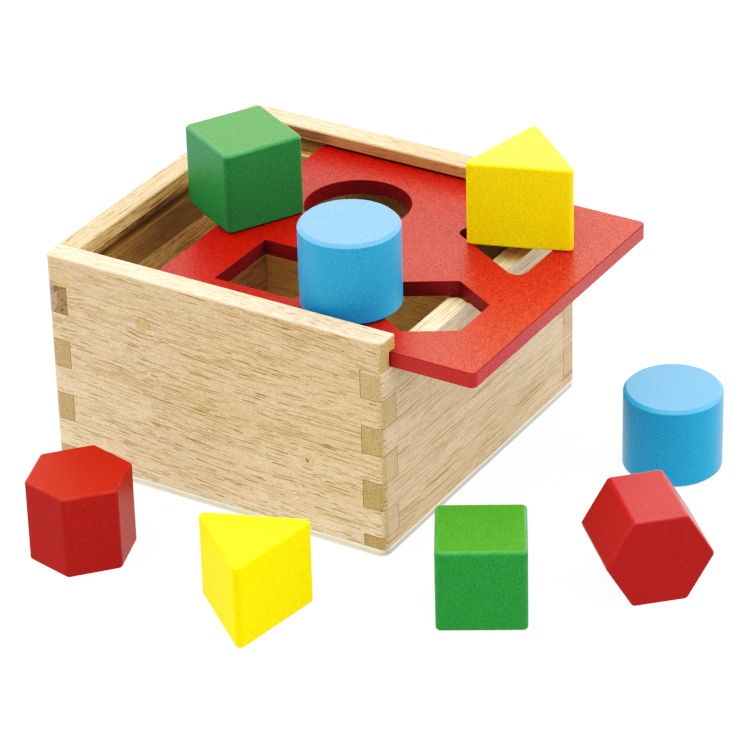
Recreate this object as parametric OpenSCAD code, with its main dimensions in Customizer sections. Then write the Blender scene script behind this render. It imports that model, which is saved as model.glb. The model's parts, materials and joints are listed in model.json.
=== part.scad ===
/* [Box] */
// Outside length of the box, along the way the lid slides
box_l = 152; // [140:1:180]
// Outside width of the box, across the lid
box_w = 152; // [145:1:180]
// Height of the side walls' top edges above the table
box_h = 94; // [85:1:120]
// Thickness of the two side walls, which carry the lid's grooves
side_t = 10.2; // [9:0.2:14]
// Thickness of the two end walls
end_t = 9.4; // [8:0.2:12]
// Thickness of the plywood base
base_t = 3.4; // [2:0.2:6]
// Radius of the box's upright corners
corner_r = 3; // [1:0.5:5]
// Radius of the base's corners
base_corner_r = 4; // [1:0.5:8]

/* [Corner joints] */
// Height of one finger of a corner joint
finger_h = 12; // [8:0.5:13]
// Height of the uncut strip above the topmost finger
top_strip_h = 13.2; // [12:0.2:20]
// How far the low end wall's top edge lies under the lid
low_wall_relief = 1.2; // [0.2:0.2:3]

/* [Lid] */
// Length of the lid
lid_l = 148; // [140:1:150]
// Width of the lid
lid_w = 137.2; // [134:0.2:138]
// Thickness of the lid
lid_t = 6.4; // [4:0.2:8]
// Radius of the lid's corners
lid_corner_r = 2.6; // [1:0.5:10]
// How far the lid is drawn out of the closed box
lid_out = 35; // [0:1:100]
// Height of the grooves that the lid slides in
groove_h = 6.8; // [6.6:0.1:8]
// Depth of the grooves in the side walls
side_groove_d = 4.2; // [3:0.2:6]
// Depth of the groove in the closed end wall
end_groove_d = 5; // [3:0.2:6]

/* [Sorting holes] */
// Side of the square hole
square_hole = 36.2; // [35.8:0.1:38]
// Diameter of the round hole
round_hole = 43.2; // [42.4:0.1:44]
// Width across the flats of the hexagonal hole
hexagon_hole = 39; // [38.4:0.1:39.1]
// Side of the triangular hole, before its corners are rounded
triangle_hole = 50.8; // [50:0.1:54]
// Corner radius of the triangular hole
triangle_hole_r = 4.4; // [2:0.2:6]

/* [Blocks] */
// Side of a square block, which is a cube
square_block_w = 34.6; // [32:0.1:35.4]
// Diameter of a round block
round_block_d = 39.6; // [39.2:0.1:42]
// Height of a round block
round_block_h = 34.8; // [32:0.1:40]
// Side of a triangular block, before its edges are rounded
triangle_block_w = 45.4; // [42:0.1:48]
// Height of a triangular block
triangle_block_h = 35.6; // [32:0.1:40]
// Width across the flats of a hexagonal block
hexagon_block_w = 36.8; // [34:0.1:37.8]
// Height of a hexagonal block
hexagon_block_h = 34.8; // [32:0.1:40]
// Radius of the long edges of the square and hexagonal blocks
block_edge_r = 2.2; // [0.5:0.1:4]
// Radius of the long edges of the triangular blocks
triangle_edge_r = 2.2; // [0.5:0.1:5]
// Chamfer around both rims of a round block
round_chamfer = 1.4; // [0.5:0.1:4]

/* [Hidden] */
$fn = 64;
SLACK = 1;                                      // how far cutters run past a face

RUBBERWOOD = [0.87, 0.74, 0.54];
PLYWOOD = [0.90, 0.82, 0.68];
RED_LACQUER = [0.84, 0.12, 0.08];
RED_PAINT = [0.76, 0.10, 0.09];
GREEN_PAINT = [0.05, 0.45, 0.18];
BLUE_PAINT = [0.22, 0.64, 0.86];
YELLOW_PAINT = [0.97, 0.87, 0.05];

wall_h = box_h - base_t;                        // the walls stand on the base
seat_z = box_h - top_strip_h;                   // floor of the grooves, where the lid lies
lid_top_z = seat_z + lid_t;
inner_l = box_l - 2 * end_t;
inner_w = box_w - 2 * side_t;
groove_start_x = -inner_l / 2 - end_groove_d;   // where the closed lid's inner end goes
lid_end_gap = 0.2;                              // left behind the closed lid
lid_centre_x = groove_start_x + lid_end_gap + lid_out + lid_l / 2;

// End-wall fingers from the bottom up, as [lowest z, highest z]. The lowest is a part finger.
finger_tops = [for (k = [0:3]) seat_z - (6 - 2 * k) * finger_h];
end_fingers = [for (k = [0:3]) [max(base_t, finger_tops[k] - finger_h), finger_tops[k]]];

// Centres of the holes, measured from the middle of the lid
square_hole_at = [-33, -33];
round_hole_at = [-34.2, 28];
hexagon_hole_at = [33.4, -30.8];
triangle_hole_at = [38, 28.4];

// Where each block stands: x, y, turn
green_spots = [[-34.4, 4.4, 61.4], [124.2, -86.9, 29.5]];
blue_spots = [[43.2, -42.8], [139.3, 39.4]];
yellow_spots = [[74, 37.9, 109.2], [51.4, -132.6, 51.3]];
red_spots = [[-29.7, -125.8, 48], [169.5, -40.6, -45.8]];

// Rectangle with round corners, centred
module rounded_rectangle(l, w, r) {
    square([l - 2 * r, w], center = true);
    square([l, w - 2 * r], center = true);
    for (x = [-1, 1], y = [-1, 1])
        translate([x * (l / 2 - r), y * (w / 2 - r)]) circle(r);
}

// Regular polygon with round corners: n corners, sides at across / 2 from the centre
module rounded_polygon(n, inradius, r) {
    half = 180 / n;
    centre_d = (inradius - r) / cos(half);      // from the middle to each corner's arc centre
    corners = [for (k = [0:n - 1]) centre_d * [cos(2 * half * k), sin(2 * half * k)]];
    polygon([for (k = [0:n - 1], s = [-1, 1])
        corners[k] + r * [cos(2 * half * k + s * half), sin(2 * half * k + s * half)]]);
    for (c = corners) translate(c) circle(r);
}

// Outline of the box with its round upright corners, as a solid of the walls' height
module wall_envelope() {
    translate([0, 0, base_t]) linear_extrude(wall_h) rounded_rectangle(box_l, box_w, corner_r);
}

// The fingers of both end walls where they cross the side wall on the side y = -1 or 1
module finger_blocks(side) {
    for (x = [-1, 1], f = end_fingers)
        translate([x * (box_l - end_t) / 2, side * (box_w - side_t) / 2, (f[0] + f[1]) / 2])
            cube([end_t, side_t, f[1] - f[0]], center = true);
}

// Side wall with its finger notches and the groove for the lid's edge
module side_wall(side) {
    groove_l = box_l / 2 - groove_start_x + SLACK;
    intersection() {
        difference() {
            translate([0, side * (box_w - side_t) / 2, base_t + wall_h / 2])
                cube([box_l, side_t, wall_h], center = true);
            finger_blocks(side);
            translate([groove_start_x + groove_l / 2, side * inner_w / 2, seat_z + groove_h / 2])
                cube([groove_l, 2 * side_groove_d, groove_h], center = true);
        }
        wall_envelope();
    }
}

// End wall at x = -1 or 1: the panel between the side walls, and its fingers
module end_wall(end, top_z) {
    intersection() {
        union() {
            translate([end * (box_l - end_t) / 2, 0, (base_t + top_z) / 2])
                cube([end_t, inner_w, top_z - base_t], center = true);
            intersection() {
                for (side = [-1, 1]) finger_blocks(side);
                translate([end * box_l / 2, 0, 0]) cube([2 * end_t, 2 * box_w, 2 * box_h], center = true);
            }
        }
        wall_envelope();
    }
}

module base_panel() {
    color(PLYWOOD) linear_extrude(base_t) rounded_rectangle(box_l, box_w, base_corner_r);
}

module near_side_wall() { color(RUBBERWOOD) side_wall(-1); }

module far_side_wall() { color(RUBBERWOOD) side_wall(1); }

module closed_end_wall() {
    color(RUBBERWOOD) difference() {
        end_wall(-1, box_h);
        translate([-inner_l / 2, 0, seat_z + groove_h / 2])
            cube([2 * end_groove_d, inner_w + 2 * SLACK, groove_h], center = true);
    }
}

module low_end_wall() { color(RUBBERWOOD) end_wall(1, seat_z - low_wall_relief); }

module sliding_lid() {
    color(RED_LACQUER) translate([lid_centre_x, 0, seat_z]) difference() {
        linear_extrude(lid_t) rounded_rectangle(lid_l, lid_w, lid_corner_r);
        translate([0, 0, -SLACK]) linear_extrude(lid_t + 2 * SLACK) {
            translate(square_hole_at) square(square_hole, center = true);
            translate(round_hole_at) circle(d = round_hole);
            translate(hexagon_hole_at) rotate(30) circle(d = hexagon_hole / cos(30), $fn = 6);
            translate(triangle_hole_at) rotate(180)
                rounded_polygon(3, triangle_hole * tan(30) / 2, triangle_hole_r);
        }
    }
}

// Puts a block on the table or on the lid
module stand(spot, z) { translate([spot[0], spot[1], z]) rotate(spot[2]) children(); }

module square_block(spot, z) {
    w = square_block_w;
    color(GREEN_PAINT) stand(spot, z) linear_extrude(w) rounded_rectangle(w, w, block_edge_r);
}

module round_block(spot, z) {
    r = round_block_d / 2;
    c = round_chamfer;
    h = round_block_h;
    color(BLUE_PAINT) stand([spot[0], spot[1], 0], z) rotate_extrude()
        polygon([[0, 0], [r - c, 0], [r, c], [r, h - c], [r - c, h], [0, h]]);
}

module triangle_block(spot, z) {
    color(YELLOW_PAINT) stand(spot, z) linear_extrude(triangle_block_h)
        rounded_polygon(3, triangle_block_w * tan(30) / 2, triangle_edge_r);
}

module hexagon_block() {
    color(RED_PAINT) linear_extrude(hexagon_block_h)
        rounded_polygon(6, hexagon_block_w / 2, block_edge_r);
}

// Hexagonal block lying on one of its six sides, with its length along the spot's turn
module lying_hexagon_block(spot) {
    stand(spot, hexagon_block_w / 2) rotate([0, 90, 0])
        translate([0, 0, -hexagon_block_h / 2]) rotate(30) hexagon_block();
}

base_panel();
near_side_wall();
far_side_wall();
closed_end_wall();
low_end_wall();
sliding_lid();
square_block(green_spots[0], lid_top_z);  // green_square_block_1
square_block(green_spots[1], 0);  // green_square_block_2
round_block(blue_spots[0], lid_top_z);  // blue_round_block_1
round_block(blue_spots[1], 0);  // blue_round_block_2
triangle_block(yellow_spots[0], lid_top_z);  // yellow_triangle_block_1
triangle_block(yellow_spots[1], 0);  // yellow_triangle_block_2
stand(red_spots[0], 0) hexagon_block();  // red_hexagon_block_1
lying_hexagon_block(red_spots[1]);  // red_hexagon_block_2
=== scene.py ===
"""Wooden shape sorter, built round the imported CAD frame.

A finger-jointed box on a plywood base, a red sliding lid with four holes and eight painted blocks.
"""
import json
import math

import bmesh
import bpy
from mathutils import Matrix, Vector


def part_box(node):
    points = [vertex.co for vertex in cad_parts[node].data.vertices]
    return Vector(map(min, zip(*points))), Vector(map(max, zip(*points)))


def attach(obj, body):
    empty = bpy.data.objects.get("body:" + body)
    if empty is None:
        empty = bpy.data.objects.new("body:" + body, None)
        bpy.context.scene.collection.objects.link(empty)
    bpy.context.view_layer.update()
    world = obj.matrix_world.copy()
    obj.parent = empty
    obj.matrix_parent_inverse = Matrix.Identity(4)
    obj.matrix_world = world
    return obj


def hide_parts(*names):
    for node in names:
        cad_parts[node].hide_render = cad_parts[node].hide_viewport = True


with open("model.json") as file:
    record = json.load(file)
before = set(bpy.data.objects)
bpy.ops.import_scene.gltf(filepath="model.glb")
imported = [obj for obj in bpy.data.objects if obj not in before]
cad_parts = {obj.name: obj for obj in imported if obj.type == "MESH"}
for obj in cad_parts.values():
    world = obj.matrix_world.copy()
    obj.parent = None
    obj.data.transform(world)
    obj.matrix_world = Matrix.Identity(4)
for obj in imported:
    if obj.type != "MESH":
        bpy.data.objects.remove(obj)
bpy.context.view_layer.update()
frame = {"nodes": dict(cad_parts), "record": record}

MM = 0.001
NODES = frame["nodes"]
BODY_OF = {n: b for b, nodes in frame["record"]["behaviour"]["bodies"].items() for n in nodes}
lid_low, lid_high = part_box("sliding_lid")
wall_low, wall_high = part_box("near_side_wall")
base_low, base_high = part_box("base_panel")
low_wall_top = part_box("low_end_wall")[1].z
inner_y = abs(wall_high.y)                          # inner faces of the side walls
outer_y = wall_low.y                                # outer face of the near side wall

# ---------------------------------------------------------------- node trees


class Tree:
    """A node tree, written as calls that return sockets."""

    def __init__(self, owner):
        owner.use_nodes = True
        self.nodes, self.links = owner.node_tree.nodes, owner.node_tree.links
        self.nodes.clear()

    def add(self, kind, inputs=None, **settings):
        node = self.nodes.new(kind)
        for key, value in settings.items():
            setattr(node, key, value)
        for key, value in (inputs or {}).items():
            self.plug(node.inputs[key], value)
        return node

    def plug(self, socket, value):
        if isinstance(value, bpy.types.NodeSocket):
            self.links.new(value, socket)
        elif isinstance(value, (tuple, list)) and len(value) == 3 and len(socket.default_value) == 4:
            socket.default_value = (*value, 1)
        else:
            socket.default_value = value

    def math(self, op, a, b=0.0):
        return self.add("ShaderNodeMath", {0: a, 1: b}, operation=op).outputs[0]

    def times(self, a, b):
        return self.math("MULTIPLY", a, b)

    def vmath(self, op, a, b):
        node = self.add("ShaderNodeVectorMath", {0: a, 1: b}, operation=op)
        return node.outputs["Value" if op in ("DISTANCE", "DOT_PRODUCT") else "Vector"]

    def remap(self, value, low, high, to_low=0.0, to_high=1.0, smooth=True):
        return self.add("ShaderNodeMapRange", {0: value, 1: low, 2: high, 3: to_low, 4: to_high},
                        interpolation_type="SMOOTHSTEP" if smooth else "LINEAR").outputs[0]


class Shader(Tree):
    """A material with one Principled shader, in the object's own coordinates."""

    def __init__(self, name, **principled):
        self.mat = bpy.data.materials.new(name)
        super().__init__(self.mat)
        self.bsdf = self.add("ShaderNodeBsdfPrincipled")
        self.add("ShaderNodeOutputMaterial", {0: self.bsdf.outputs[0]})
        for key, value in principled.items():
            self.set(key.replace("_", " "), value)
        coordinates = self.add("ShaderNodeTexCoord").outputs
        self.here, self.normal = coordinates["Object"], coordinates["Normal"]
        self.x, self.y, self.z = self.add("ShaderNodeSeparateXYZ", {0: self.here}).outputs

    def set(self, socket, value):
        self.plug(self.bsdf.inputs[socket], value)

    def scaled(self, vector, factor):
        node = self.add("ShaderNodeVectorMath", {0: vector}, operation="SCALE")
        self.plug(node.inputs["Scale"], factor)
        return node.outputs["Vector"]

    def placed(self, vector, scale=(1, 1, 1), move=(0, 0, 0), turn=(0, 0, 0)):
        return self.add("ShaderNodeMapping", {"Vector": vector, "Scale": scale, "Location": move,
                                              "Rotation": turn}).outputs[0]

    def noise(self, vector, scale=1.0, detail=2.0, roughness=0.5, distortion=0.0, colour=False):
        node = self.add("ShaderNodeTexNoise", {"Vector": vector, "Scale": scale, "Detail": detail,
                                               "Roughness": roughness, "Distortion": distortion})
        return node.outputs["Color" if colour else "Fac"]

    def mix(self, factor, a, b, blend="MIX"):
        return self.add("ShaderNodeMix", {0: factor, 6: a, 7: b}, data_type="RGBA",
                        blend_type=blend).outputs[2]

    def tinted(self, colour, tint, factor=1.0):
        return self.mix(factor, colour, tint, "MULTIPLY")

    def facing(self, way, low, high, both=False):
        """1 where the surface faces a direction, or either way along it, and 0 where it turns away."""
        dot = self.vmath("DOT_PRODUCT", self.normal, way)
        return self.remap(self.math("ABSOLUTE", dot) if both else dot, low, high)

    def between(self, low, high):
        """1 between two heights, falling to 0 within a millimetre of them."""
        rise, fall = self.remap(self.z, low - 1 * MM, low), self.remap(self.z, high, high + 1 * MM, 1, 0)
        return self.times(rise, fall)

    def marks(self):
        """How much of a rounded arris, of a joint line or hole and of a rim this is, as the mesh has it."""
        colour = self.add("ShaderNodeVertexColor", layer_name="edges").outputs[0]
        return self.add("ShaderNodeSeparateColor", {0: colour}).outputs[:3]

    def bump(self, height, distance, strength=1.0):
        self.set("Normal", self.add("ShaderNodeBump", {"Height": height, "Distance": distance,
                                                       "Strength": strength}).outputs[0])


UP = (0, 0, 1)

# ---------------------------------------------------------------- wood
# Noise scales are in cycles per metre

PALE, TAN, BROWN = (0.59, 0.418, 0.232), (0.51, 0.34, 0.16), (0.43, 0.23, 0.085)
PORE, DARK_PORE, GLUE = (0.28, 0.135, 0.045), (0.10, 0.05, 0.02), (0.08, 0.04, 0.02)
END_PALE, END_DARK, RESIN = (0.43, 0.27, 0.115), (0.24, 0.14, 0.055), (0.50, 0.28, 0.085)
DIRT_GREY, DIRT_BROWN, DIRT_SPOT = (0.24, 0.165, 0.10), (0.19, 0.10, 0.043), (0.06, 0.025, 0.015)
DIRT_SPLIT = (-69.8 * MM, -68.4 * MM)               # where the dark finger turns from grey to brown
SCRIBED_TINT = (0.90, 0.84, 0.82)                   # the low end wall's fingers past its scribed line
CORNER_X, CORNER_Z = (-38 * MM, -28 * MM), (50 * MM, 62 * MM)   # edges of the corner with painted shade by the lid's end
SWAY = 6 * MM                                       # how far the grain wanders
KNOT_SWIRL = 0.4                                    # how strongly it flows round a knot
VESSEL_SLOPE = 0.02                                 # so that no vessel stays at the surface for long
VESSEL_SPREAD = 300.0                               # so that each vessel breaks at its own places


def grain_space(s, along_y, seed, tilt, knots):
    """Coordinates whose x runs along the grain, which sways and flows round each knot."""
    turn = (tilt, 0, -math.pi / 2) if along_y else (0, tilt, 0)
    wood = s.placed(s.here, turn=turn, move=(seed * 0.731, seed * 0.377, seed * 0.113))
    for centre, reach, *_ in knots:
        away = s.vmath("SUBTRACT", s.here, centre)
        near = s.remap(s.vmath("DISTANCE", s.here, centre), 0, reach * 4, 1, 0)
        wood = s.vmath("SUBTRACT", wood, s.scaled(away, s.times(near, KNOT_SWIRL)))
    sway = s.noise(s.placed(wood, (9, 13, 13)), detail=1, colour=True)
    sway = s.vmath("SUBTRACT", sway, (0.5, 0.5, 0.5))
    return s.vmath("ADD", wood, s.placed(sway, (0, 0, SWAY)))


def vessels(s, wood, along, across, width, share):
    """Pores cut open: vessels along the grain, each a cell across it, that show as broken dashes."""
    x, y, z = s.add("ShaderNodeSeparateXYZ", {0: wood}).outputs
    drifted = s.math("ADD", y, s.times(x, VESSEL_SLOPE))
    section = s.add("ShaderNodeCombineXYZ", {0: drifted, 1: z}).outputs[0]
    cells = s.add("ShaderNodeTexVoronoi", {"Vector": section, "Scale": across},
                  voronoi_dimensions="2D").outputs
    own = s.scaled(cells["Color"], VESSEL_SPREAD)
    run = s.noise(s.vmath("ADD", own, s.placed(wood, (along, 0, 0))), detail=1)
    cut = s.remap(cells["Distance"], width, width + 0.12, 1, 0)
    return s.times(cut, s.remap(run, share, share + 0.07))


def long_grain(s, wood, zones, dashes, lines):
    """The colour along the grain, and its bands, fine lines, pore dashes and deep pores."""
    bands = s.noise(s.placed(wood, (6, 110, 110)), detail=3, roughness=0.4)
    patches = s.noise(s.placed(wood, (9, 36, 36), (3.1, 1.7, 0.4)), detail=1)
    colour = s.mix(s.remap(bands, 0.34, 0.68, 0.05, 0.5), PALE, TAN)
    colour = s.mix(s.times(s.remap(patches, 0.46, 0.70), zones), colour, BROWN)

    fine = s.noise(s.placed(wood, (28, 1500, 1500)), detail=1)
    colour = s.mix(s.times(s.remap(fine, 0.55, 0.64), lines), colour, PORE)

    busy = s.remap(patches, 0.34, 0.60, 0.65, 1.0)      # pores crowd in the browner zones
    haze = s.noise(s.placed(wood, (130, 2300, 2300), (2, 5, 3)), detail=1)
    haze = s.times(s.remap(haze, 0.55, 0.60), busy)
    colour = s.mix(s.times(haze, 0.25 * dashes), colour, PORE)
    dash = s.times(vessels(s, wood, 120, 1500, 0.25, 0.49), busy)
    colour = s.mix(s.times(dash, dashes), colour, PORE)
    deep = s.times(vessels(s, wood, 150, 1150, 0.15, 0.53), busy)
    colour = s.mix(s.times(deep, dashes), colour, DARK_PORE)
    speck = s.noise(s.here, 1700, 1)
    return s.mix(s.remap(speck, 0.38, 0.66, 0, 0.48), colour, PORE), bands, fine, dash, deep


def with_knots(s, colour, knots):
    """Each knot is a resinous heart, a broken outline and a dark core, as strong as the knot says."""
    for centre, reach, outline, dark in knots:
        ragged = s.times(s.noise(s.here, 620, 3, 0.6), reach * 1.5)
        ragged = s.math("ADD", s.vmath("DISTANCE", s.here, centre), ragged)
        heart = s.remap(ragged, reach * 0.7, reach * 1.9, 1, 0)
        ring = s.remap(ragged, reach * 1.3, reach * 1.5)
        ring = s.times(ring, s.remap(ragged, reach * 1.6, reach * 1.9, 1, 0))
        core = s.remap(ragged, reach * 0.9, reach * 1.2, 1, 0)
        colour = s.mix(s.times(heart, 0.85), colour, RESIN)
        colour = s.mix(s.times(ring, outline), colour, PORE)
        colour = s.mix(s.times(core, dark), colour, DARK_PORE)
    return colour


def end_grain(s, seed, tint, stained):
    """Speckled end grain with faint rings, and a dark knotty patch where it is stained."""
    speckle = s.noise(s.here, 1700, 2, 0.7)
    rings = s.placed(s.here, (330, 330, 70), (seed, 0, seed))
    rings = s.noise(rings, detail=3, roughness=0.6, distortion=0.6)
    colour = s.mix(s.remap(speckle, 0.36, 0.64, 0, 0.95), END_PALE, END_DARK)
    colour = s.mix(s.remap(rings, 0.45, 0.75, 0, 0.5), colour, END_DARK)
    colour = s.tinted(colour, tint)
    if stained:
        cloud = s.noise(s.placed(s.here, move=(0.003, 0, 0.004)), 650, 3, 0.7)
        split = s.math("ADD", s.x, s.times(cloud, 5 * MM))
        dirt = s.mix(s.remap(split, *DIRT_SPLIT), DIRT_GREY, DIRT_BROWN)
        dirt = s.mix(s.remap(cloud, 0.52, 0.60, 0, 0.8), dirt, DIRT_SPOT)
        colour = s.mix(s.times(stained, 0.95), colour, dirt)
    return colour


def inner_face(s, colour, inside, inside_shading, lip_shading, dim):
    """Paints light and shade on the faces turned inside: a painted tint below the lid's top, one above and
    painted shade in a corner.
    """
    inward = s.facing(inside, 0.5, 0.95)
    colour = s.mix(s.times(inward, 0.45), colour, TAN)
    shade = s.mix(s.remap(s.z, lid_high.z, lid_high.z + 0.4 * MM), inside_shading, lip_shading)
    # Painted shade: darker towards the corner by the lid's end
    if dim:
        corner = s.times(s.remap(s.x, *CORNER_X, 1, 0), s.remap(s.z, *CORNER_Z))
        shade = s.scaled(shade, s.math("SUBTRACT", 1, s.times(corner, dim)))
    return s.tinted(colour, shade, inward)


def rubberwood(name, along_y, seed, tilt, tint=(1, 1, 1), zones=0.25, dashes=1.0, lines=0.35, knots=(),
               stain=None, inside=None, inside_shading=(0.66, 0.60, 0.50), lip_shading=(0.62, 0.52, 0.50), dim=None,
               end_tint=(1, 1, 1), scribe=None, light_by_height=None, top_light_tint=(1, 1, 1)):
    """Bare light hardwood with its grain along X or Y: bands of tone, brown pore dashes and end grain.

    zones, dashes and lines say how strong the browner zones, the pores and the fine lines are. inside is
    the way the faces with painted shade are turned, inside_shading and lip_shading their painted light and
    shade below and above the lid's top, and dim how much darker their corner is, a painted shade. stain is a
    span of heights where the end grain is dirty, and a board that has one is shaded only there. scribe is a
    place along Y, light_by_height a pair of painted light tints, at the board's foot and at its top, and
    top_light_tint the painted light of its upward faces.
    """
    s = Shader(name, IOR=1.5, Specular_IOR_Level=0.42)
    wood = grain_space(s, along_y, seed, tilt, knots)
    colour, bands, fine, dash, deep = long_grain(s, wood, zones, dashes, lines)
    colour = with_knots(s, colour, knots)
    stained = s.between(*stain) if stain else None
    end = s.facing((0, 1, 0) if along_y else (1, 0, 0), 0.45, 0.95, both=True)
    colour = s.mix(end, colour, end_grain(s, seed, end_tint, stained))
    if inside:
        shaded = s.scaled(inside, stained) if stain else inside
        colour = inner_face(s, colour, shaded, inside_shading, lip_shading, dim)
    if scribe:                                      # a line marked where the fingers begin
        off_line = s.math("ABSOLUTE", s.math("SUBTRACT", s.y, scribe))
        colour = s.mix(s.remap(off_line, 0.1 * MM, 0.7 * MM, 0.5, 0), colour, PORE)
        colour = s.tinted(colour, SCRIBED_TINT, s.remap(s.y, scribe, scribe + 0.3 * MM))
    arris, joint, _ = s.marks()
    # Arrises lighter: partly wear, partly a painted highlight
    colour = s.mix(s.times(arris, 0.35), colour, PALE)
    # Painted light: upward faces take top_light_tint, the other faces tint
    colour = s.tinted(colour, s.mix(s.facing(UP, 0.4, 0.9), tint, top_light_tint))
    # Painted light: a tint that changes from the board's foot to its top
    if light_by_height:
        level = s.remap(s.z, base_high.z, wall_high.z, smooth=False)
        colour = s.tinted(colour, s.mix(level, *light_by_height))
    s.set("Base Color", s.mix(s.times(joint, 0.9), colour, GLUE))
    rough = s.remap(bands, 0.3, 0.7, 0.42, 0.56, smooth=False)
    s.set("Roughness", s.math("ADD", rough, s.times(deep, 0.2)))
    pits = s.math("ADD", s.times(dash, 0.5), deep)
    s.bump(s.math("SUBTRACT", s.times(fine, 0.35), pits), 0.06 * MM, 0.8)
    return s.mat


# ---------------------------------------------------------------- plywood and paint

SHEET, SHEET_GRAIN, SHEET_CLOUD = (0.58, 0.55, 0.36), (0.48, 0.42, 0.26), (0.45, 0.42, 0.33)
CORE_PALE, CORE_DARK = (0.52, 0.46, 0.32), (0.36, 0.30, 0.20)
# The edges facing along X are painted darker and greyer: painted shade
SHADED_EDGE_PALE, SHADED_EDGE_DARK = (0.36, 0.345, 0.30), (0.26, 0.24, 0.20)
# A painted highlight on the sheet's rounded arrises
SHEET_ARRIS_HIGHLIGHT = (0.72, 0.66, 0.48)


def plywood(name):
    """Thin pale plywood: three plies on its edges and fine grain on its faces."""
    s = Shader(name, IOR=1.48)
    grain = s.noise(s.placed(s.here, (30, 700, 700)), detail=3, roughness=0.6)
    cloud = s.noise(s.here, 38, 3)
    colour = s.mix(s.remap(grain, 0.35, 0.7), SHEET, SHEET_GRAIN)
    colour = s.mix(s.times(s.remap(cloud, 0.4, 0.7), 0.3), colour, SHEET_CLOUD)
    off_core = s.math("ABSOLUTE", s.math("SUBTRACT", s.z, (base_low.z + base_high.z) / 2))
    off_core = s.math("ADD", off_core, s.times(cloud, 0.2 * MM))
    core = s.remap(off_core, 0.55 * MM, 0.85 * MM, 1, 0)
    edge = s.math("SUBTRACT", 1, s.facing(UP, 0.2, 0.6, both=True))
    speck = s.noise(s.placed(s.here, (1400, 1400, 2600)), detail=2, roughness=0.7)
    specked = s.remap(speck, 0.35, 0.7)
    colour = s.mix(s.times(s.times(core, edge), 0.6), colour, s.mix(specked, CORE_PALE, CORE_DARK))
    shaded_edge = s.facing((1, 0, 0), 0.4, 0.9, both=True)    # edges across the outer plies' grain, made darker and greyer as painted shade
    colour = s.mix(shaded_edge, colour, s.mix(specked, SHADED_EDGE_PALE, SHADED_EDGE_DARK))
    # Arrises lighter: a painted highlight
    colour = s.mix(s.times(s.marks()[0], 0.7), colour, SHEET_ARRIS_HIGHLIGHT)
    s.set("Base Color", colour)
    s.set("Roughness", s.remap(grain, 0.3, 0.7, 0.5, 0.65, smooth=False))
    s.bump(s.math("SUBTRACT", grain, s.times(speck, edge)), 0.05 * MM, 0.7)
    return s.mat


def paint(name, colour, roughness, seed, gloss, grain=0.05 * MM, mottle=0.16, bores=None, arris=None,
          rim=None, sheen_tints=None, top=None):
    """Sprayed paint on sanded wood: pebbly skin, faint grain showing through and lighter arrises, partly
    rubbed and partly a painted highlight.

    bores, arris and rim are colours of their own for the holes, the rounded edges and the outline; as the lid
    has them, arris is a painted shade line and rim painted light. sheen_tints is a pair of tints of painted
    sheen, at the lid's inner and outer end, and top is the colour of an upward face, its painted light and
    shade.
    """
    s = Shader(name, IOR=1.5, Specular_IOR_Level=gloss)
    here = s.placed(s.here, move=(seed, seed * 0.6, seed * 0.3))
    pebble = s.noise(here, 1900, 2, 0.6)
    cloud = s.noise(here, 55, 3, 0.55)
    fibre = s.noise(s.placed(here, (160, 160, 1300)), detail=2, roughness=0.6)
    bright = tuple(min(c * (1 + mottle), 1) for c in colour)
    deep = tuple(c * (1 - mottle * 1.8) for c in colour)
    tone = s.mix(s.remap(pebble, 0.3, 0.72), bright, deep)
    tone = s.mix(s.times(s.remap(cloud, 0.35, 0.7), 0.3), tone, tuple(c * 0.9 for c in colour))
    # Painted sheen: tints from the lid's inner end to its outer end
    if sheen_tints:
        tone = s.tinted(tone, s.mix(s.remap(s.x, lid_low.x, lid_high.x, smooth=False), *sheen_tints))
    # Upward faces take the top colour: painted light and shade on the top
    if top:
        lit_top = s.tinted(tone, tuple(t / c for t, c in zip(top, colour)))
        tone = s.mix(s.facing(UP, 0.4, 0.9), tone, lit_top)
    on_arris, in_bore, on_rim = s.marks()
    # The rim colour, as the lid has it, is painted light on the outline faces
    if rim:
        tone = s.mix(on_rim, tone, rim)
    # The arris colour, as the lid has it, is a painted shade line
    if arris:
        tone = s.mix(on_arris, tone, arris)
    else:
        # Lighter arrises: partly rubbed paint, partly a painted highlight
        rub_and_highlight = s.times(on_arris, s.remap(cloud, 0.42, 0.62, 0.1, 0.35))
        tone = s.mix(rub_and_highlight, tone, tuple(min(c * 1.25 + 0.02, 1) for c in colour))
    if bores:
        tone = s.mix(s.times(in_bore, 0.9), tone, bores)
    s.set("Base Color", tone)
    rough = s.remap(pebble, 0.25, 0.75, roughness - 0.05, roughness + 0.06, smooth=False)
    s.set("Roughness", s.math("ADD", rough, s.times(on_arris, 0.4)) if arris else rough)
    s.bump(s.math("ADD", pebble, s.times(fibre, 0.7)), grain)
    return s.mat


# ---------------------------------------------------------------- geometry

TOUCH = 0.1 * MM                                    # nearer than this is at the same height or face
JOINT_LINE = 0.13 * MM                              # radius of the hairline at a glued joint
JOINT_WIDTH = 0.09 * MM                             # faces narrower than this are such hairlines
WALL_TOP_RADIUS, LOW_WALL_TOP_RADIUS = 1.1 * MM, 0.9 * MM
LIP_RADIUS, GROOVE_RADIUS = 1.7 * MM, 0.5 * MM      # under the lip over the lid, and of the groove's floor
LID_RADIUS, HOLE_RADIUS, BASE_RADIUS = 0.7 * MM, 0.5 * MM, 0.7 * MM
ROUND_CHAMFER, ROUND_SOFT = 1.4 * MM, 0.6 * MM      # a round block's chamfer, and the radius of its edges
ROUND_SIDES, ARC_STEPS, BEVEL_STEPS = 96, 4, 4
FLAT_ANGLE, SHARP_ANGLE, CREASE_ANGLE = math.radians(0.6), math.radians(25), math.radians(50)


def linked(name, data):
    """A new object in the scene."""
    made = bpy.data.objects.new(name, data)
    bpy.context.scene.collection.objects.link(made)
    return made


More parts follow.
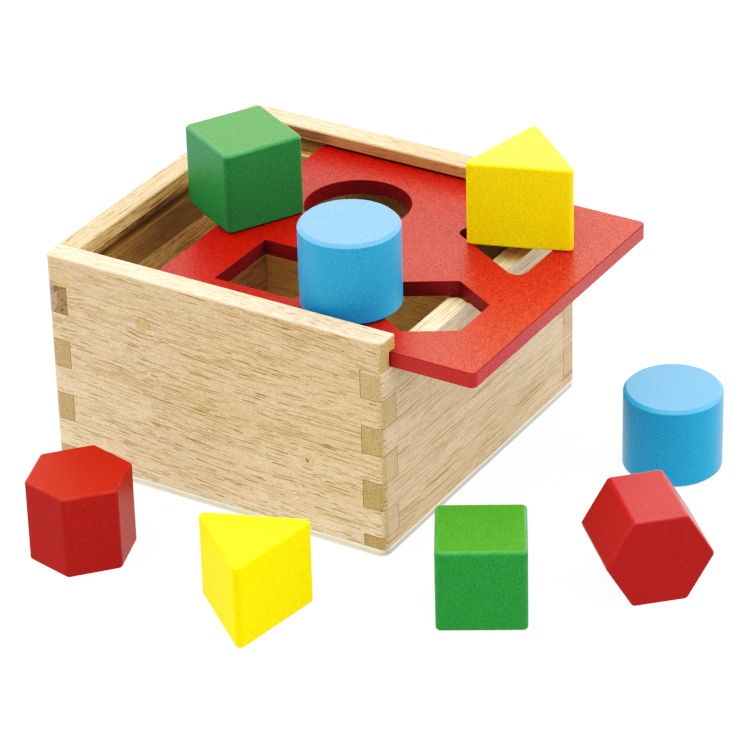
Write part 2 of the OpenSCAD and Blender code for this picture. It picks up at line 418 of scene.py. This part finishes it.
def own_mesh(name, node):
    """A piece with the shape of a CAD node, its triangles merged into flat faces."""
    mesh = bpy.data.meshes.new(name)
    bm = bmesh.new()
    bm.from_mesh(NODES[node].data)
    bmesh.ops.remove_doubles(bm, verts=bm.verts, dist=1e-6)
    bmesh.ops.dissolve_limit(bm, angle_limit=FLAT_ANGLE, verts=bm.verts, edges=bm.edges,
                             use_dissolve_boundaries=False)
    bm.to_mesh(mesh)
    bm.free()
    return linked(name, mesh)


def rounded(piece, radius_at, widest):
    """Rounds each sharp edge by what radius_at gives for its middle and direction, and marks the new faces.

    The mark is a material index of 1, which finished() turns into the edge marks that the shaders read.
    """
    mesh = piece.data
    bm = bmesh.new()
    bm.from_mesh(mesh)
    weight = bm.edges.layers.float.new("bevel_weight_edge")
    for edge in bm.edges:
        if len(edge.link_faces) == 2 and edge.calc_face_angle(0) > SHARP_ANGLE:
            a, b = (v.co for v in edge.verts)
            edge[weight] = radius_at((a + b) / 2, (b - a).normalized()) / widest
    bm.to_mesh(mesh)
    bm.free()
    mesh.materials.append(None)
    mesh.materials.append(None)
    bevel = piece.modifiers.new("Arrises", "BEVEL")
    bevel.limit_method, bevel.width, bevel.segments = "WEIGHT", widest, BEVEL_STEPS
    bevel.material, bevel.use_clamp_overlap = 1, True
    bevel.miter_outer = "MITER_SHARP"
    baked = bpy.data.meshes.new_from_object(piece.evaluated_get(bpy.context.evaluated_depsgraph_get()))
    piece.modifiers.clear()
    piece.data = baked


def finished(piece, node, material, is_bore=lambda face: False, is_rim=lambda face: False):
    """Edge marks, material, smooth shading and body for a piece that stands for a CAD node."""
    mesh = piece.data
    marks = mesh.color_attributes.new("edges", "FLOAT_COLOR", "CORNER")
    bm = bmesh.new()
    bm.from_mesh(mesh)
    bm.faces.ensure_lookup_table()
    shortest = [min(e.calc_length() for e in f.edges) for f in bm.faces]
    bm.free()
    for face in mesh.polygons:
        new = face.material_index == 1
        joint = new and shortest[face.index] < JOINT_WIDTH
        mark = (float(new and not joint), float(joint or is_bore(face)), float(is_rim(face)), 1)
        for corner in face.loop_indices:
            marks.data[corner].color = mark
        face.material_index = 0
    mesh.materials.clear()
    mesh.materials.append(material)
    mesh.shade_smooth()
    mesh.set_sharp_from_angle(angle=CREASE_ANGLE)
    weighted = piece.modifiers.new("Flat faces stay flat", "WEIGHTED_NORMAL")
    weighted.keep_sharp, weighted.weight = True, 80
    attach(piece, BODY_OF[node])
    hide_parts(node)


def wall_radius(mid, way):
    """Soft along a wall's top, broad under the lip over the lid and a hairline at a joint."""
    at_inside = abs(abs(mid.y) - inner_y) < TOUCH and abs(way.x) > 0.9
    if mid.z > wall_high.z - TOUCH:
        return WALL_TOP_RADIUS
    if at_inside and lid_high.z < mid.z < lid_high.z + 1 * MM:
        return LIP_RADIUS
    if at_inside and abs(mid.z - lid_low.z) < TOUCH:
        return GROOVE_RADIUS
    return JOINT_LINE


def low_wall_radius(mid, way):
    return LOW_WALL_TOP_RADIUS if mid.z > low_wall_top - TOUCH else JOINT_LINE


def margin(at):
    """How far a point of the lid lies inside its outline."""
    return min(at.x - lid_low.x, lid_high.x - at.x, at.y - lid_low.y, lid_high.y - at.y)


def lid_radius(mid, way):
    """The lid's outline is rounder than the edges of its holes."""
    return LID_RADIUS if margin(mid) < 4 * MM else HOLE_RADIUS


def is_bore(face):
    return abs(face.normal.z) < 0.3 and margin(face.center) > 1 * MM


def is_rim(face):
    return abs(face.normal.z) < 0.3 and margin(face.center) < 1 * MM


def lathed(name, node):
    """A turned block filling its CAD node's box, with a chamfer round each rim and softened chamfer edges."""
    low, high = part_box(node)
    middle, r = (low + high) / 2, (high.x - low.x) / 2
    cut = ROUND_SOFT * math.tan(math.pi / 8)
    eighth = [math.pi / 4 * k / ARC_STEPS for k in range(ARC_STEPS + 1)]
    profile = []
    for t in eighth:                                # from the end face round into the chamfer
        profile.append((r - ROUND_CHAMFER - cut + ROUND_SOFT * math.sin(t), ROUND_SOFT * (1 - math.cos(t))))
    for t in (math.pi / 4 + t for t in eighth):     # and from the chamfer round into the side
        profile.append((r - ROUND_SOFT * (1 - math.sin(t)), ROUND_CHAMFER + cut - ROUND_SOFT * math.cos(t)))
    side = len(profile) - 1                         # the ring below the plain side
    profile = [(q, low.z + z) for q, z in profile] + [(q, high.z - z) for q, z in reversed(profile)]
    angles = [2 * math.pi * k / ROUND_SIDES for k in range(ROUND_SIDES)]
    mesh = bpy.data.meshes.new(name)
    bm = bmesh.new()
    rings = [[bm.verts.new((middle.x + q * math.cos(a), middle.y + q * math.sin(a), z)) for a in angles]
             for q, z in profile]
    for index, (ring, above) in enumerate(zip(rings, rings[1:])):
        for k in range(ROUND_SIDES):
            after = (k + 1) % ROUND_SIDES
            face = bm.faces.new((ring[k], ring[after], above[after], above[k]))
            face.material_index = int(index != side)
    bm.faces.new(reversed(rings[0]))
    bm.faces.new(rings[-1])
    bm.to_mesh(mesh)
    bm.free()
    mesh.materials.append(None)
    mesh.materials.append(None)
    return linked(name, mesh)


# ---------------------------------------------------------------- pieces

# Centre, reach and strength of the outline and of the dark core
KNOTS = [((-31 * MM, outer_y, 74.2 * MM), 3.2 * MM, 0.5, 0.15),
         ((42 * MM, outer_y, 34 * MM), 2.9 * MM, 0.3, 0.9),
         ((-67.3 * MM, outer_y, 83.1 * MM), 3.4 * MM, 0.0, 0.0)]
STAINED_FINGER = (68.8 * MM, 80.8 * MM)             # heights of the closed end wall's topmost finger

WOODS = {
    "near_side_wall": rubberwood(
        "Rubberwood_near", False, 1.0, -0.05, knots=KNOTS, inside=(0, 1, 0),
        light_by_height=((1.11, 1.20, 1.28), (0.86, 0.86, 0.80)), top_light_tint=(1.08, 1.17, 1.42)),
    "far_side_wall": rubberwood(
        "Rubberwood_far", False, 2.3, 0.02, zones=0.5, inside=(0, -1, 0), inside_shading=(1.03, 1.09, 0.90),
        lip_shading=(0.66, 0.50, 0.55), dim=0.42, top_light_tint=(0.89, 0.81, 0.70)),
    "closed_end_wall": rubberwood(
        "Rubberwood_closed_end", True, 3.7, 0.01, lines=0.6, stain=STAINED_FINGER, inside=(1, 1, 1),
        inside_shading=(0.50, 0.49, 0.37), lip_shading=(0.46, 0.43, 0.33), end_tint=(0.90, 0.86, 0.88),
        top_light_tint=(0.74, 0.70, 0.51)),
    "low_end_wall": rubberwood(
        "Rubberwood_low_end", True, 5.1, 0.015, tint=(0.90, 0.90, 0.95), zones=0.1, dashes=0.5, lines=1.0,
        scribe=inner_y, light_by_height=((0.88, 0.87, 0.75), (1.08, 1.14, 1.19)), top_light_tint=(1.08, 1.19, 1.21)),
}
for node, material in WOODS.items():
    piece = own_mesh(node.title().replace("_", "") + "_board", node)
    rounded(piece, low_wall_radius if node == "low_end_wall" else wall_radius, LIP_RADIUS)
    finished(piece, node, material)

base = own_mesh("Base_plywood_sheet", "base_panel")
rounded(base, lambda mid, way: BASE_RADIUS, BASE_RADIUS)
finished(base, "base_panel", plywood("Plywood_pale"))

# The lid: a painted shade line on its arrises, painted light on its outline faces and a painted sheen from
# end to end
lacquer = paint("Red_lacquer", (0.238, 0.011, 0.004), 0.27, 0.2, gloss=0.105, grain=0.12 * MM, mottle=0.42,
                bores=(0.13, 0.011, 0.014), arris=(0.07, 0.004, 0.003), rim=(0.28, 0.031, 0.029),
                sheen_tints=((0.89, 0.52, 0.30), (1.21, 2.0, 2.6)))
lid = own_mesh("Sliding_lid_panel", "sliding_lid")
rounded(lid, lid_radius, LID_RADIUS)
finished(lid, "sliding_lid", lacquer, is_bore, is_rim)

# Roughness and edge radius of each kind of block, then the colour, the gloss and the top face's colour, a
# painted light and shade, of its first and its second block. The round blocks are turned, so their edges are
# in lathed()
PAINTS = {
    "green": (0.36, 1.4 * MM,
              ((0.033, 0.138, 0.055), 0.08, (0.033, 0.134, 0.0275)),
              ((0.029, 0.155, 0.042), 0.09, (0.036, 0.140, 0.0175))),
    "blue": (0.40, None,
             ((0.019, 0.182, 0.370), 0.34, (0.049, 0.178, 0.350)),
             ((0.011, 0.178, 0.375), 0.30, (0.035, 0.184, 0.370))),
    "yellow": (0.36, 1.2 * MM,
               ((0.690, 0.455, 0.001), 0.18, None),
               ((0.745, 0.555, 0.001), 0.02, (0.70, 0.50, 0.018))),
    "red": (0.36, 1.0 * MM,
            ((0.230, 0.0165, 0.0120), 0.06, (0.224, 0.014, 0.0045)),
            ((0.240, 0.0120, 0.0105), 0.14, None)),
}
for name, (roughness, radius, *coats) in PAINTS.items():
    for node, (colour, gloss, top) in zip(sorted(n for n in NODES if n.startswith(name)), coats):
        title = node.title().replace("_", "")
        if name == "blue":
            piece = lathed(title + "_turned", node)
        else:
            piece = own_mesh(title + "_milled", node)
            rounded(piece, lambda mid, way: radius, radius)
        finished(piece, node, paint("Paint_" + node, colour, roughness, 0.37 * int(node[-1]), gloss, top=top))

# ---------------------------------------------------------------- floor, light and camera

FLOOR_REACH, FLOOR_DROP = 4.0, 0.02 * MM
FLOOR_GREY, FLOOR_GLOW = 0.05, 0.86                 # nearly all its white is its own, so shadows stay faint
AZIMUTH, ELEVATION, ROLL = math.radians(31.666), math.radians(29.795), math.radians(-1.590)
DISTANCE, AIM_RIGHT, AIM_DOWN = 1.550667, 0.023102, 0.021709
FOCAL_LENGTH, SENSOR_WIDTH = 186.46, 36             # in millimetres
CLIP_NEAR, CLIP_FAR = 0.05, 20
CEILING_LIGHT = 3.5
WALL_LIGHTS = ((0, 1.8), (90, 2.0), (180, 0.2), (270, 2.5))     # backdrop, left, viewer's side, right
# From scene values to the photograph's contrast
TONES = ((0.0168, 0.0090), (0.0529, 0.0400), (0.0835, 0.0935), (0.1144, 0.158), (0.2051, 0.335),
         (0.3278, 0.498), (0.4851, 0.667), (0.6795, 0.841), (0.8714, 0.960))
WHITE_POINT = (0.95, 1)

floor_mesh = bpy.data.meshes.new("Floor")
corners = [(x * FLOOR_REACH, y * FLOOR_REACH, 0) for x, y in ((-1, -1), (1, -1), (1, 1), (-1, 1))]
floor_mesh.from_pydata(corners, [], [(0, 1, 2, 3)])
floor = linked("Floor", floor_mesh)
floor.location.z = -FLOOR_DROP
ground = Shader("Floor_white", Roughness=0.9, IOR=1.3, Base_Color=(FLOOR_GREY,) * 3,
                Emission_Color=(1, 1, 1), Emission_Strength=FLOOR_GLOW)
floor_mesh.materials.append(ground.mat)

# A studio of four soft walls of light round the object and a soft ceiling. AZIMUTH turns it with the camera
world = bpy.data.worlds.new("Studio")
bpy.context.scene.world = world
sky = Tree(world)
towards = sky.add("ShaderNodeTexCoord").outputs["Generated"]
height = sky.vmath("DOT_PRODUCT", towards, UP)
overhead = sky.remap(height, 0.45, 0.9)
level = sky.math("MAXIMUM", sky.math("SUBTRACT", 1.0, sky.times(height, height)), 1e-4)
around = 0.0
for turn, strength in WALL_LIGHTS:
    angle = AZIMUTH + math.radians(90 + turn)
    lobe = sky.vmath("DOT_PRODUCT", towards, (math.cos(angle), math.sin(angle), 0))
    lobe = sky.math("MAXIMUM", lobe, 0.0)
    around = sky.math("ADD", around, sky.times(sky.times(lobe, lobe), strength))
around = sky.times(sky.math("DIVIDE", around, level), sky.math("SUBTRACT", 1.0, overhead))
lit = sky.math("ADD", around, sky.times(overhead, CEILING_LIGHT))
background = sky.add("ShaderNodeBackground", {"Color": (1, 1, 1), "Strength": lit}).outputs[0]
sky.add("ShaderNodeOutputWorld", {0: background})

# The camera looks at the middle of the box, shifted and rolled as the photograph has it
camera_data = bpy.data.cameras.new("Camera")
camera_data.lens, camera_data.sensor_width = FOCAL_LENGTH, SENSOR_WIDTH
camera_data.clip_start, camera_data.clip_end = CLIP_NEAR, CLIP_FAR
camera = linked("Camera", camera_data)
bpy.context.scene.camera = camera
back = Vector((math.sin(AZIMUTH) * math.cos(ELEVATION), -math.cos(AZIMUTH) * math.cos(ELEVATION),
               math.sin(ELEVATION)))
right = Vector((math.cos(AZIMUTH), math.sin(AZIMUTH), 0))
up = back.cross(right)
right, up = (math.cos(ROLL) * right + math.sin(ROLL) * up, math.cos(ROLL) * up - math.sin(ROLL) * right)
middle = Vector((0, 0, wall_high.z / 2))
camera.location = middle + back * DISTANCE + right * AIM_RIGHT - up * AIM_DOWN
camera.rotation_mode = "QUATERNION"
camera.rotation_quaternion = Matrix((right, up, back)).transposed().to_quaternion()

view = bpy.context.scene.view_settings
view.view_transform = "Standard"
view.use_curve_mapping = True
tones = view.curve_mapping
for x, y in TONES:
    tones.curves[3].points.new(x, y)
tones.curves[3].points[-1].location = WHITE_POINT
tones.update()
